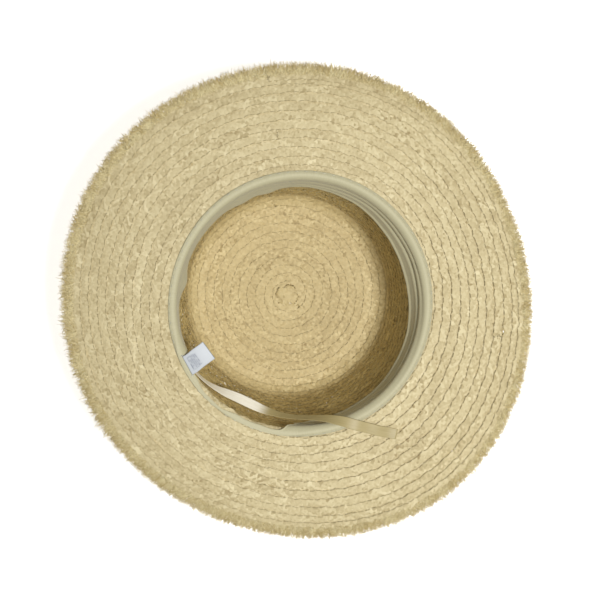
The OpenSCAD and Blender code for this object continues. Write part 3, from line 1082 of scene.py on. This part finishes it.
class HAT_OT_ribbon(Operator):
    """Runs the satin ribbon behind the sweatband and out to its loose end"""

    bl_idname = "hat.ribbon"
    bl_label = "Sizing ribbon"

    def execute(self, context):
        b = context.scene.hat_ribbon
        rows = [
            (r * MM * math.cos(rad(az)), r * MM * math.sin(rad(az)), z * MM, rad(lean))
            for az, r, z, lean in RIBBON_ROUTE
        ]
        line = smooth_line(rows, 1.0 * MM)
        centre, lean = settle(line[:, :3]), line[:, 3:]
        length = float(np.sum(np.linalg.norm(np.diff(centre, axis=0), axis=1)))
        out = unit(centre * np.array([1, 1, 0]))
        face = -out * np.cos(lean) + np.array([0, 0, 1.0]) * np.sin(lean)
        go = unit(np.gradient(centre, axis=0))
        face = unit(face - go * np.sum(face * go, -1, keepdims=True))
        side = np.cross(go, face)
        n = len(centre)
        one = np.ones((1, n))
        # Painted highlight: the ribbon is cream for its first stretch and khaki past it, the cream
        # standing in for the satin's gleam.
        plain_satin = ease(np.linspace(0, length, n), b.clean - 6 * MM, b.clean + 6 * MM)
        obj = strands_to_piece(
            "sizing_ribbon_loose_end", centre[None], side[None], face[None],
            one * b.width / 2, one * b.thickness / 2, plain_satin[None], FLAT,
        )
        satin = satin_material("Satin ribbon, khaki polyester, cream painted highlight", tuple(b.colour), tuple(b.plain_satin))
        finish_piece(obj, satin, ["sizing_ribbon_tail"])
        az = rad(np.linspace(330, 630, 301))[:, None]
        v = np.linspace(0, 1, 9)[None]

        def strip(h):
            return round_hat(BAND_FREE + (1.5 + 8 * v) * MM, h * MM + 0 * az, az)

        step = (MM * 1.58, MM)
        run = skin_piece("sizing_ribbon_channel_run", strip(2.2), strip(1.8), step, False)
        finish_piece(run, satin, ["sizing_ribbon_run"])

        def place(t, u, h):
            """Stitches in a row across the ribbon's hidden end."""
            return round_hat(BAND_FREE + 5.5 * MM + t, 2.2 * MM + h, rad(333) + u / 0.09)

        k = (np.arange(4) - 1.5) * 2 * MM
        tack = stitch_run("ribbon_tack_stitches", place, k, 1.4 * MM, 0.35 * MM, 81)
        ecru = bpy.data.materials["Polyester thread, ecru"]
        finish_piece(tack, ecru, ["ribbon_tack"])
        return {"FINISHED"}


FLOOR_REACH = 60.0
KEY_SIZE, KEY_FROM = 0.36, 1.7


class HAT_OT_stage(Operator):
    """Sets the pale floor, the soft lights and the camera"""

    bl_idname = "hat.stage"
    bl_label = "Stage"

    def execute(self, context):
        b = context.scene.hat_stage
        corners = np.array([[-1, -1, 0], [1, -1, 0], [1, 1, 0], [-1, 1, 0]]) * FLOOR_REACH
        quad = np.array([[0, 1, 2, 3]])
        floor = make_piece("studio_floor", corners - np.array([0, 0, 0.4 * MM]), quad)
        # Coated paper lit from below: a white, shadeless face that keeps only a faint shadow.
        mat, tree, out = new_material("White paper sweep, matt")
        skin = add_node(
            tree, "BsdfPrincipled", Roughness=0.9, Base_Color=linear("#FAFAFA"),
            Emission_Color=WHITE, Emission_Strength=b.floor_glow,
        )
        tree.links.new(skin.outputs["BSDF"], out.inputs["Surface"])
        floor.data.materials.append(mat)

        world = bpy.data.worlds.new("White surround")
        world.use_nodes = True
        surround = world.node_tree.nodes["Background"]
        surround.inputs["Color"].default_value = WHITE
        surround.inputs["Strength"].default_value = b.fill
        context.scene.world = world
        context.scene.view_settings.view_transform = "Standard"

        light = bpy.data.lights.new("Key softbox", "AREA")
        light.shape, light.size, light.energy = "DISK", KEY_SIZE, b.key
        key = bpy.data.objects.new("Key softbox", light)
        context.scene.collection.objects.link(key)
        middle = np.array([0, 0, 0.09])
        aim_at(key, middle + KEY_FROM * direction(rad(44), rad(80)), middle, (0, 0, 1))

        lens = bpy.data.cameras.new("Camera")
        lens.sensor_width, lens.lens = 36.0, 18 * VIEW_FROM / VIEW_HALF
        lens.clip_start, lens.clip_end = 0.05, 20.0
        camera = bpy.data.objects.new("Camera", lens)
        context.scene.collection.objects.link(camera)
        back = direction(b.side, TURN / 4 - b.tilt)
        top = direction(b.roll, 0.0)
        right = np.cross(top, [0, 0, 1.0])
        # It looks at the head opening's middle, less a small shift to one side.
        centre = np.array([0, 0, 100 * MM]) - right * 1.4 * MM + top * 2.6 * MM
        aim_at(camera, centre + back * b.distance, centre, top)
        context.scene.camera = camera
        return {"FINISHED"}


def direction(toward, high):
    """The unit vector at an angle round the hat and an angle above the floor."""
    flat = math.cos(high)
    return np.array([math.cos(toward) * flat, math.sin(toward) * flat, math.sin(high)])


def aim_at(obj, place, target, top):
    """Puts a light or camera at place, looking along -Z at target, with top upwards in view."""
    z = unit(place - target)
    x = unit(np.cross(top, z))
    axes = np.column_stack([x, np.cross(z, x), z, place])
    obj.matrix_world = Matrix([*axes.tolist(), [0, 0, 0, 1]])


OPERATORS = (
    HAT_OT_tip, HAT_OT_side, HAT_OT_brim, HAT_OT_fringe, HAT_OT_row_stitches,
    HAT_OT_sweatband, HAT_OT_label, HAT_OT_ribbon, HAT_OT_stage,
)


class HAT_PT_panel(Panel):
    """Lists the hat's settings and the steps that build it"""

    bl_idname = "HAT_PT_panel"
    bl_label = "Straw Hat"
    bl_space_type = "VIEW_3D"
    bl_region_type = "UI"
    bl_category = "Straw Hat"

    def draw(self, context):
        for name, group in SETTINGS:
            box = self.layout.box()
            for prop in group.__annotations__:
                box.prop(getattr(context.scene, name), prop)
        for step in OPERATORS:
            self.layout.operator(step.bl_idname)


def register():
    for name, group in SETTINGS:
        bpy.utils.register_class(group)
        setattr(bpy.types.Scene, name, PointerProperty(type=group))
    for cls in (*OPERATORS, HAT_PT_panel):
        bpy.utils.register_class(cls)


def unregister():
    for cls in (HAT_PT_panel, *reversed(OPERATORS)):
        bpy.utils.unregister_class(cls)
    for name, group in reversed(SETTINGS):
        delattr(bpy.types.Scene, name)
        bpy.utils.unregister_class(group)


def main():
    register()
    for step in OPERATORS:
        group, name = step.bl_idname.split(".")
        getattr(getattr(bpy.ops, group), name)()


if __name__ == "__main__":
    main()
